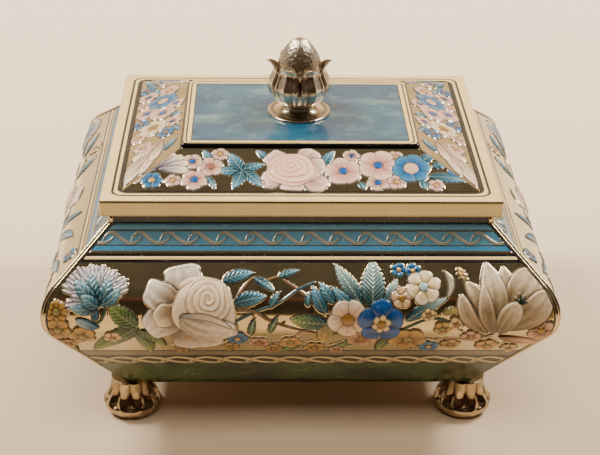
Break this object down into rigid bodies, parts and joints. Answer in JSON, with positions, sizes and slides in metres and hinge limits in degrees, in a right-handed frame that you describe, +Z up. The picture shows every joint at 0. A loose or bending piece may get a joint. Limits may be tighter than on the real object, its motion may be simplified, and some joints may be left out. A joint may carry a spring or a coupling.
{
  "type": "casket tin",
  "caption": "Footed bombe casket tin of embossed, printed tinplate, with a hinged lid topped by a leaf-and-bud finial and cast lobed feet.",
  "frame": {"origin": "on the floor under the middle of the base", "axes": "+X to the right along the longest side, +Y to the back where the hinge is, +Z up"},
  "size_m": [0.1926, 0.1646, 0.1432],
  "materials": {
    "printed_tinplate": "glossy lithographed print with embossed flowers on bare and tinted metal",
    "bare_tinplate": "satin lacquered tinplate",
    "silvered_casting": "bright silvered casting, warm in the hollows",
    "fastener_steel": "plain zinc"
  },
  "bodies": {
    "casket": {"front_panel": "printed_tinplate", "rear_panel": "printed_tinplate", "left_panel": "printed_tinplate", "right_panel": "printed_tinplate", "base_plate": "bare_tinplate", "mouth_frame": "bare_tinplate", "hinge_body_leaf": "bare_tinplate", "hinge_pin": "fastener_steel", "hinge_body_rivet_1": "fastener_steel", "hinge_body_rivet_2": "fastener_steel", "hinge_body_rivet_3": "fastener_steel", "foot_front_left": "silvered_casting", "foot_washer_front_left": "fastener_steel", "foot_screw_front_left": "fastener_steel", "foot_front_right": "silvered_casting", "foot_washer_front_right": "fastener_steel", "foot_screw_front_right": "fastener_steel", "foot_rear_left": "silvered_casting", "foot_washer_rear_left": "fastener_steel", "foot_screw_rear_left": "fastener_steel", "foot_rear_right": "silvered_casting", "foot_washer_rear_right": "fastener_steel", "foot_screw_rear_right": "fastener_steel"},
    "lid": {"lid_top": "printed_tinplate", "hinge_lid_leaf": "bare_tinplate", "hinge_lid_rivet_1": "fastener_steel", "hinge_lid_rivet_2": "fastener_steel", "hinge_lid_rivet_3": "fastener_steel", "finial_foot": "silvered_casting", "finial_leaf_cup": "silvered_casting", "finial_bud": "silvered_casting", "finial_washer": "fastener_steel", "finial_screw": "fastener_steel"}
  },
  "joints": [
    {"name": "lid_hinge", "type": "hinge", "parent": "casket", "child": "lid", "pos_m": [0, 0.0626, 0.0937], "axis": [-1, 0, 0], "range_deg": [0, 105]}
  ]
}
